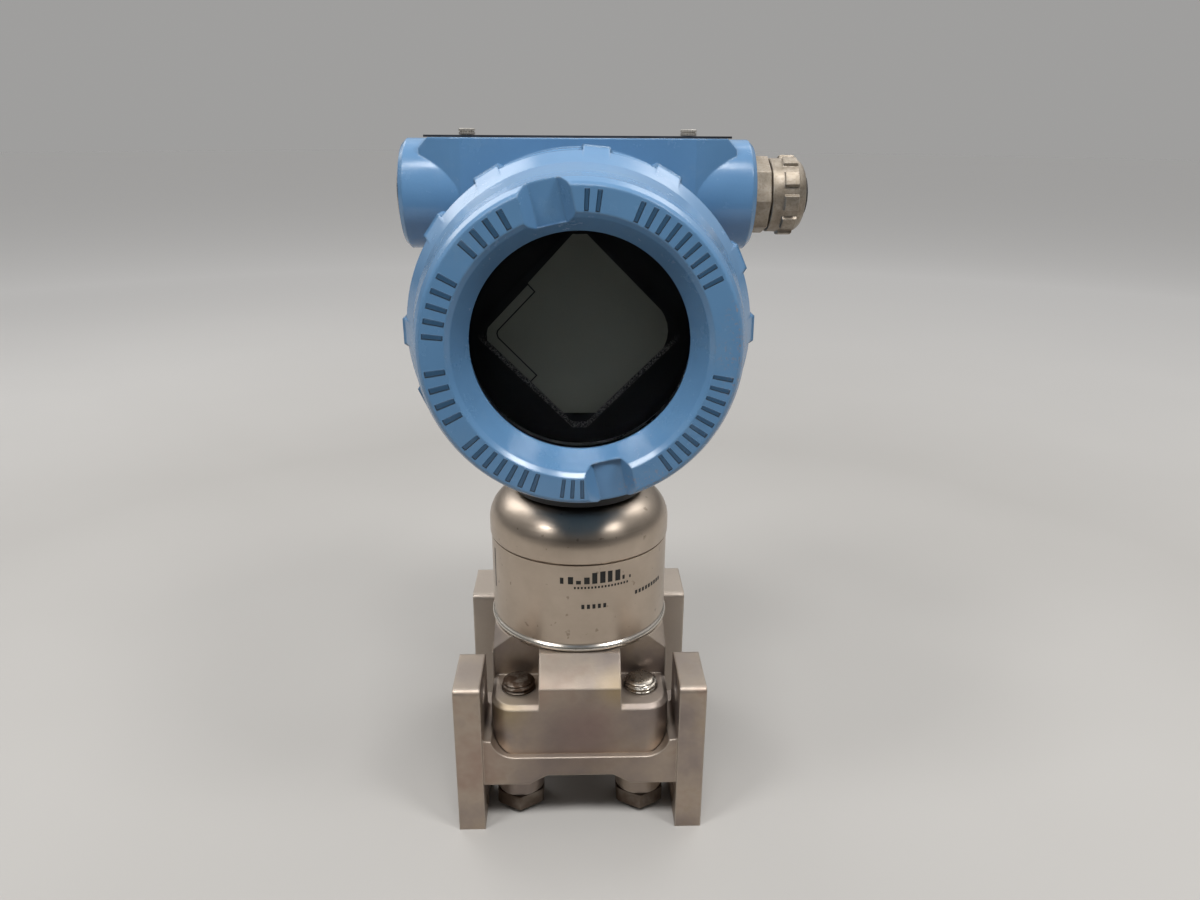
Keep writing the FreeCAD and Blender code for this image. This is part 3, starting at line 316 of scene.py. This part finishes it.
def black_gloss():
    """The display's moulding: black and shiny, with a coarse grain on the raised ridge below, its lighter
    grains a painted sparkle.
    """
    look = Look("black_gloss").set(IOR=1.35)
    raised = look.both(look.level(look.along("Y"), -48.15, -48.3), look.level(look.along("Z"), 172, 166))
    grain = look.level(look.noise(2600, 2, 0.6), 0.45, 0.62)
    colour = look.ramp(look.noise(60, 3), (0.3, (0.016, 0.016, 0.018)), (0.7, (0.023, 0.023, 0.025)))
    # Painted sparkle: lighter grains on the ridge stand in for glints.
    colour = look.mix(look.both(raised, grain), colour, (0.20, 0.19, 0.185))
    rough = look.level(look.both(raised, grain), 0, 1, 0.14, 0.5)
    return look.finish(colour, rough, [(look.both(raised, grain), 0.5, 0.1)])


def glass():
    look = Look("glass").set(Transmission_Weight=1.0, IOR=1.2)
    smear = look.level(look.noise(60, 4, 0.6), 0.45, 0.75, 0.0, 0.03)
    tone = look.ramp(look.noise(20, 2), (0.3, (0.93, 0.95, 0.95)), (0.7, (0.97, 0.98, 0.98)))
    return look.finish(tone, smear)


def lcd_grey():
    look = Look("lcd_grey").set(IOR=1.3)
    tone = look.ramp(look.noise(40, 2), (0.3, (0.185, 0.188, 0.158)), (0.7, (0.205, 0.208, 0.176)))
    return look.finish(tone, look.level(look.noise(500, 3), 0.3, 0.7, 0.35, 0.45))


MATERIALS = {
    "blue_paint": blue_paint, "cast_steel": cast_steel, "can_steel": can_steel, "steel": steel,
    "nickel": nickel, "glass": glass, "lcd_grey": lcd_grey, "black_gloss": black_gloss,
    "retainer_aluminium": lambda: simple("retainer_aluminium", (0.5, 0.5, 0.5), (0.65, 0.65, 0.66),
                                         (0.25, 0.4), 1.0),
    "label_metal": lambda: simple("label_metal", (0.05, 0.05, 0.055), (0.09, 0.09, 0.10), (0.3, 0.45), 0.7),
    "black_plastic": lambda: simple("black_plastic", (0.010, 0.010, 0.011), (0.02, 0.02, 0.021)),
    "board_green": lambda: simple("board_green", (0.010, 0.07, 0.03), (0.02, 0.12, 0.05), (0.3, 0.4)),
    "seal_white": lambda: simple("seal_white", (0.62, 0.60, 0.54), (0.78, 0.76, 0.70)),
    "rubber_black": lambda: simple("rubber_black", (0.008, 0.008, 0.008), (0.02, 0.02, 0.019), (0.6, 0.8)),
    "brass": lambda: simple("brass", (0.50, 0.36, 0.14), (0.66, 0.50, 0.22), (0.22, 0.35), 1.0),
}
looks = {slot: make() for slot, make in MATERIALS.items()}
for part in frame["record"]["subparts"]:
    mesh = nodes[part["node"]].data
    mesh.materials.clear()
    mesh.materials.append(looks[part["material_slot"]])
ink = simple("ink", (0.008, 0.007, 0.007), (0.02, 0.018, 0.016), (0.5, 0.7))
pale_steel = simple("pale_steel", (0.52, 0.49, 0.44), (0.68, 0.64, 0.58), (0.3, 0.45), 0.6)


# ---------------------------------------------------------------- fine pieces
class Mesh:
    """Vertices in millimetres and faces, gathered until an object is made of them."""

    def __init__(self):
        self.points = []
        self.faces = []

    def grid(self, rows, closed=True, wrap=False):
        """Quads between rows; closed joins each row's ends, wrap joins the last row to the first."""
        start, width = len(self.points), len(rows[0])
        for row in rows:
            self.points += [tuple(p) for p in row]
        count = len(rows)
        for i in range(count if wrap else count - 1):
            low, high = start + i * width, start + (i + 1) % count * width
            for j in range(width if closed else width - 1):
                k = (j + 1) % width
                self.faces.append((low + j, low + k, high + k, high + j))

    def cap(self, ring):
        start = len(self.points)
        self.points += [tuple(p) for p in ring]
        self.faces.append(list(range(start, start + len(ring))))

    def make(self, name, material_slot, body, replaced=(), sharp=35, material=None):
        mesh = bpy.data.meshes.new(name)
        mesh.from_pydata([Vector(p) * MM for p in self.points], [], self.faces)
        mesh.materials.append(material or looks[material_slot])
        for face in mesh.polygons:
            face.use_smooth = True
        mesh.set_sharp_from_angle(angle=math.radians(sharp))
        made = bpy.data.objects.new(name, mesh)
        bpy.context.collection.objects.link(made)
        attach(made, body)
        if replaced:
            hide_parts(*replaced)
        return made


def circle(radius, height, count, centre=(0, 0), ripple=None):
    points = []
    for i in range(count):
        angle = math.tau * i / count
        r = radius if ripple is None else radius + ripple(angle)
        points.append((centre[0] + r * math.cos(angle), centre[1] + r * math.sin(angle), height))
    return points


def can():
    """The welded can with its rolled seam below and its round shoulder above, in one smooth turning."""
    profile = [(28.6, 60.9), (29.8, 60.9), (30.5, 61.15), (30.9, 61.6), (31.0, 62.1), (30.9, 62.6),
               (30.5, 63.05), (30.05, 63.3), (29.95, 63.7), (30.0, 64.2), (30.0, 92.45), (30.1, 92.7),
               (30.45, 92.9), (30.7, 93.2), (30.8, 93.7)]
    for i in range(19):
        angle = math.pi / 2 * i / 18
        profile.append((20.4 + 10.4 * math.cos(angle), 97.6 + 10.4 * math.sin(angle)))
    profile += [(16.0, 108.0), (16.0, 106.1), (19.0, 106.1), (24.0, 104.6), (27.5, 101.2), (28.6, 97.6)]
    mesh = Mesh()
    mesh.grid([circle(r, z, 144) for r, z in profile], wrap=True)
    mesh.make("can_smooth", "can_steel", "sensor_module", ("sensor_can",), sharp=50)


def bolts():
    """Four hex bolts with rolled threads standing out of the ears."""
    mesh = Mesh()
    count, pitch, radius, depth = 40, 1.27, 5.5, 0.72
    for sx in (-1, 1):
        for sy in (-1, 1):
            centre = (sx * BOLT_X, sy * BOLT_Y)

            def level(height, r, ripple=None):
                return circle(r, height, count, centre, ripple)

            rows = [level(0.82, 0.01), level(0.82, 7.0)]
            rows = rows + [hex_ring(centre, 15.6, 7.0, 0.82, count), hex_ring(centre, 15.9, 9.05, 1.7, count),
                           hex_ring(centre, 15.9, 9.05, 6.9, count), hex_ring(centre, 15.7, 7.5, 7.2, count)]
            rows += [level(7.2, radius), level(44.2, radius)]
            steps = 34
            for i in range(steps):
                z = 44.4 + i * 4.2 / (steps - 1)
                fade = min(1.0, (i + 1) / 6)

                def ripple(angle, z=z, fade=fade):
                    turn = (z / pitch - angle / math.tau) % 1.0
                    return -depth * fade * max(0.0, min(1.0, abs(turn - 0.5) * 3.2 - 0.3))

                taper = max(0.0, z - 47.9) * 0.9
                rows.append(level(z, radius - taper, ripple))
            rows += [level(48.95, 4.3), level(49.2, 3.6), level(49.15, 1.5), level(49.2, 0.01)]
            mesh.grid(rows)
    mesh.make("bolts_threaded", "steel", "sensor_module", ("flange_bolts",), sharp=30)


def hex_ring(centre, across, limit, height, count):
    """A hexagon's outline rounded off at a largest radius."""
    def ripple(angle):
        near = (angle + math.pi / 6) % (math.pi / 3) - math.pi / 6
        return min(across / 2 / math.cos(near), limit)
    return circle(0.0, height, count, centre, ripple)


def top_screws():
    """The nameplate's two knurled screws, each with a groove round its head and a shallow dimple on top;
    their slot is not modelled.
    """
    mesh = Mesh()
    for side in (-1, 1):
        centre = (side * NAMEPLATE_SCREW_X, 0.0)

        def knurl(angle):
            return 0.12 * math.cos(angle * 18)

        rows = [circle(radius, height, 72, centre, ripple) for radius, height, ripple in (
            (1.6, 216.2, None), (1.6, 221.7, None), (2.2, 221.72, None), (2.36, 221.85, knurl),
            (2.36, 222.5, knurl), (2.12, 222.6, None), (2.12, 222.7, None), (2.36, 222.8, knurl),
            (2.36, 223.4, knurl), (2.15, 223.55, None), (0.9, 223.55, None), (0.01, 223.4, None))]
        mesh.grid(rows)
    mesh.make("screws_knurled", "steel", "housing_head", ("nameplate_screws",), sharp=40,
              material=pale_steel)


def printed_marks():
    """Short plain strokes on the can's wrapped plate, where worn printing stands."""
    mesh = Mesh()

    def stroke(angle, height, wide, tall):
        rows = []
        for z in (height, height + tall):
            rows.append([(MARK_RADIUS * math.cos(math.radians(a)), MARK_RADIUS * math.sin(math.radians(a)), z)
                         for a in (angle, angle + wide / 2, angle + wide)])
        mesh.grid(rows, closed=False)

    for i, (tall, wide) in enumerate(((2.2, 2.2), (2.6, 3.2), (1.3, 3.0), (2.4, 3.4), (3.9, 3.2), (4.1, 3.4),
                                      (4.0, 3.0), (3.9, 3.4), (1.5, 1.6), (1.0, 1.2))):
        stroke(258.0 + i * 4.9, 86.0, wide, tall)
    for i in range(17):
        stroke(266.5 + i * 2.1, 84.3, 1.2, 0.8)
    for i in range(5):
        stroke(271.0 + i * 3.4, 77.0, 1.9, 1.6)
    for i in range(9):
        stroke(307.0 + i * 3.0, 79.0, 1.9, 1.4)
    stroke(199.0, 75.0, 1.6, 14.5)
    mesh.make("printed_marks", "black_plastic", "sensor_module", material=ink)


def gland():
    """The gland: an octagonal nut, a domed cap with ten grip pads and a rubber insert in its mouth."""
    count = 176

    def ring(x, radius, rise=0.0, sides=False):
        row = []
        for i in range(count):
            angle = math.radians(6.5) + math.tau * i / count
            r = radius + (rise if (angle / math.tau * 10 + 0.083) % 1.0 < 0.61 else 0.0)
            if sides:
                r = radius / math.cos((math.tau * i / count) % (math.pi / 4) - math.pi / 8)
            row.append((x, r * math.cos(angle), HUB_Z + r * math.sin(angle)))
        return row

    for name, slot, body, node, rows in (
            ("nut_octagonal", "nickel", "housing_head", "gland_body", (
                (43.3, 6.7), (43.3, 10.0), (52.5, 10.0), (52.52, 10.5, 0, True), (52.7, 10.7, 0, True),
                (57.5, 10.7, 0, True), (57.7, 10.5, 0, True), (57.7, 9.0), (65.6, 9.0), (65.6, 6.7))),
            ("cap_padded", "nickel", "gland_nut", "gland_cap", (
                (58.1, 9.06), (58.1, 10.6), (58.35, 10.9), (61.6, 10.9), (61.62, 10.9, 0.7),
                (61.85, 10.9, 0.95), (65.8, 10.9, 0.95), (66.05, 10.9, 0.6), (66.07, 10.88), (66.9, 10.5),
                (67.7, 9.9), (68.3, 9.2), (68.7, 8.4), (68.9, 7.6), (68.9, 7.0), (68.7, 6.92), (66.2, 6.92),
                (66.2, 9.06))),
            ("rubber_domed", "rubber_black", "housing_head", "gland_seal", (
                (55.6, 5.0), (55.6, 6.5), (68.7, 6.5), (69.3, 6.35), (69.75, 5.9), (69.9, 5.4), (69.8, 5.1),
                (69.5, 5.0)))):
        mesh = Mesh()
        mesh.grid([ring(*row) for row in rows], wrap=True)
        mesh.make(name, slot, body, (node,), sharp=32)


def softened(corners):
    """An outline through corners (x, z, reach), each turned over in a curve that starts at its reach."""
    points = []
    for i, (x, z, reach) in enumerate(corners):
        here = Vector((x, z))
        others = (corners[i - 1], corners[(i + 1) % len(corners)])
        before, after = (reach * (Vector(other[:2]) - here).normalized() for other in others)
        steps = 8 if reach else 0
        for k in range(steps + 1):
            t = k / steps if steps else 0.0
            points.append(here + before * (1 - t) ** 2 + after * t ** 2)
    return points


def display_film():
    """The display's pale field, a thin film in front of the moulding."""
    mesh = Mesh()
    corners = [(0.3, 199.8, 0), (-26.9, 170.7, 5), (-6.0, 149.3, 0), (6.2, 149.3, 0), (28.0, 172.2, 12)]
    mesh.cap([(x, FIELD_Y, z) for x, z in softened(corners)])
    mesh.make("display_film", "lcd_grey", "housing_head")


def display_lines():
    """The unlit glyph outline on the display: a bent bar along the field's left corner."""
    mesh = Mesh()
    outline = [(-13.6, 184.7), (-24.6, 173.2), (-25.0, 171.6), (-24.9, 169.4), (-13.6, 158.0),
               (-11.7, 160.0), (-21.8, 170.4), (-22.1, 171.5), (-21.9, 172.3), (-11.8, 182.7)]
    for (x0, z0), (x1, z1) in zip(outline, outline[1:] + outline[:1]):
        run = Vector((x1 - x0, z1 - z0)).normalized() * 0.17
        side = Vector((-run.y, run.x))
        mesh.cap([(x0 - run.x + side.x, GLYPH_Y, z0 - run.y + side.y),
                  (x1 + run.x + side.x, GLYPH_Y, z1 + run.y + side.y),
                  (x1 + run.x - side.x, GLYPH_Y, z1 + run.y - side.y),
                  (x0 - run.x - side.x, GLYPH_Y, z0 - run.y - side.y)])
    mesh.make("glyph_outline", "black_gloss", "housing_head")


can()
bolts()
top_screws()
printed_marks()
gland()
display_film()
display_lines()


# ---------------------------------------------------------------- stage, light, camera
def stage():
    bpy.ops.mesh.primitive_circle_add(vertices=96, radius=8.0, fill_type="NGON", location=(0, 7.55, 0))
    floor = bpy.context.object
    floor.name = "floor"
    look = Look("floor").set(Roughness=0.75)
    tone = look.ramp(look.noise(6, 2), (0.3, (0.40, 0.385, 0.365)), (0.7, (0.415, 0.40, 0.38)))
    # Painted light and shade: the floor is painted paler away from the object and darker round it.
    painted_light_away = look.level(look.nearness((0, -7550, 0), 1500), 0.75, 0.1)
    tone = look.mix(painted_light_away, tone, (0.90, 0.885, 0.865))
    floor.data.materials.append(look.finish(tone, look.level(look.noise(4, 2), 0.3, 0.7, 0.7, 0.8)))


def lamp(name, place, size, power, target=(0, 0, 0.13)):
    data = bpy.data.lights.new(name, "AREA")
    data.shape = "RECTANGLE"
    data.size, data.size_y = size
    data.energy = power
    made = bpy.data.objects.new(name, data)
    made.location = place
    made.rotation_euler = (Vector(target) - Vector(place)).to_track_quat("-Z", "Y").to_euler()
    bpy.context.collection.objects.link(made)


def light():
    lamp("key_left", (-0.51, -0.40, 0.90), (0.24, 0.24), 3.9)
    lamp("key_right", (0.51, -0.40, 0.90), (0.24, 0.24), 3.9)
    lamp("top_front", (0.0, -0.46, 1.10), (0.40, 0.20), 6.2)
    lamp("back_left", (-0.45, 0.50, 0.68), (0.40, 0.45), 1.5)
    lamp("back_right", (0.45, 0.42, 0.85), (0.40, 0.45), 1.5)
    world = bpy.data.worlds.new("studio")
    world.use_nodes = True
    bpy.context.scene.world = world
    tree = world.node_tree
    place = tree.nodes.new("ShaderNodeTexCoord")
    parts = tree.nodes.new("ShaderNodeSeparateXYZ")
    tree.links.new(place.outputs["Generated"], parts.inputs[0])
    lift = tree.nodes.new("ShaderNodeMapRange")
    lift.inputs["From Min"].default_value = -1.0
    tree.links.new(parts.outputs["Z"], lift.inputs["Value"])
    fade = tree.nodes.new("ShaderNodeValToRGB")
    stops = fade.color_ramp.elements
    levels = ((0.0, 0.03), (0.49, 0.03), (0.56, 0.16), (0.72, 0.45), (1.0, 0.8))
    while len(stops) < len(levels):
        stops.new(0.5)
    for stop, (where, level) in zip(stops, levels):
        stop.position = where
        stop.color = (level, level, level, 1)
    tree.links.new(lift.outputs["Result"], fade.inputs["Fac"])
    front = tree.nodes.new("ShaderNodeMapRange")
    for key, value in (("From Min", -0.3), ("From Max", 0.5), ("To Min", 0.30), ("To Max", 1.1)):
        front.inputs[key].default_value = value
    tree.links.new(parts.outputs["Y"], front.inputs["Value"])
    dim = tree.nodes.new("ShaderNodeVectorMath")
    dim.operation = "SCALE"
    tree.links.new(fade.outputs["Color"], dim.inputs[0])
    tree.links.new(front.outputs["Result"], dim.inputs["Scale"])
    path = tree.nodes.new("ShaderNodeLightPath")
    choose = tree.nodes.new("ShaderNodeMix")
    choose.data_type = "RGBA"
    choose.inputs[7].default_value = (0.347, 0.343, 0.338, 1)
    tree.links.new(path.outputs["Is Camera Ray"], choose.inputs["Factor"])
    tree.links.new(dim.outputs["Vector"], choose.inputs[6])
    tree.links.new(choose.outputs[2], tree.nodes["Background"].inputs["Color"])


def camera():
    focal_px, width_px = 884.4, 1200
    pitch, roll, yaw = math.radians(19.49), math.radians(0.35), math.radians(1.76)
    turn = Matrix.Rotation(-yaw, 4, "Z")
    data = bpy.data.cameras.new("camera")
    data.sensor_width = 36
    data.lens = focal_px / width_px * data.sensor_width
    data.clip_start = 0.01
    made = bpy.data.objects.new("camera", data)
    place = turn @ Vector((7.2, -283.3, 221.29)) * MM
    made.matrix_world = (Matrix.Translation(place) @ turn @ Matrix.Rotation(math.pi / 2 - pitch, 4, "X")
                         @ Matrix.Rotation(roll, 4, "Z"))
    bpy.context.collection.objects.link(made)
    bpy.context.scene.camera = made


stage()
light()
camera()
bpy.context.scene.view_settings.view_transform = "Standard"
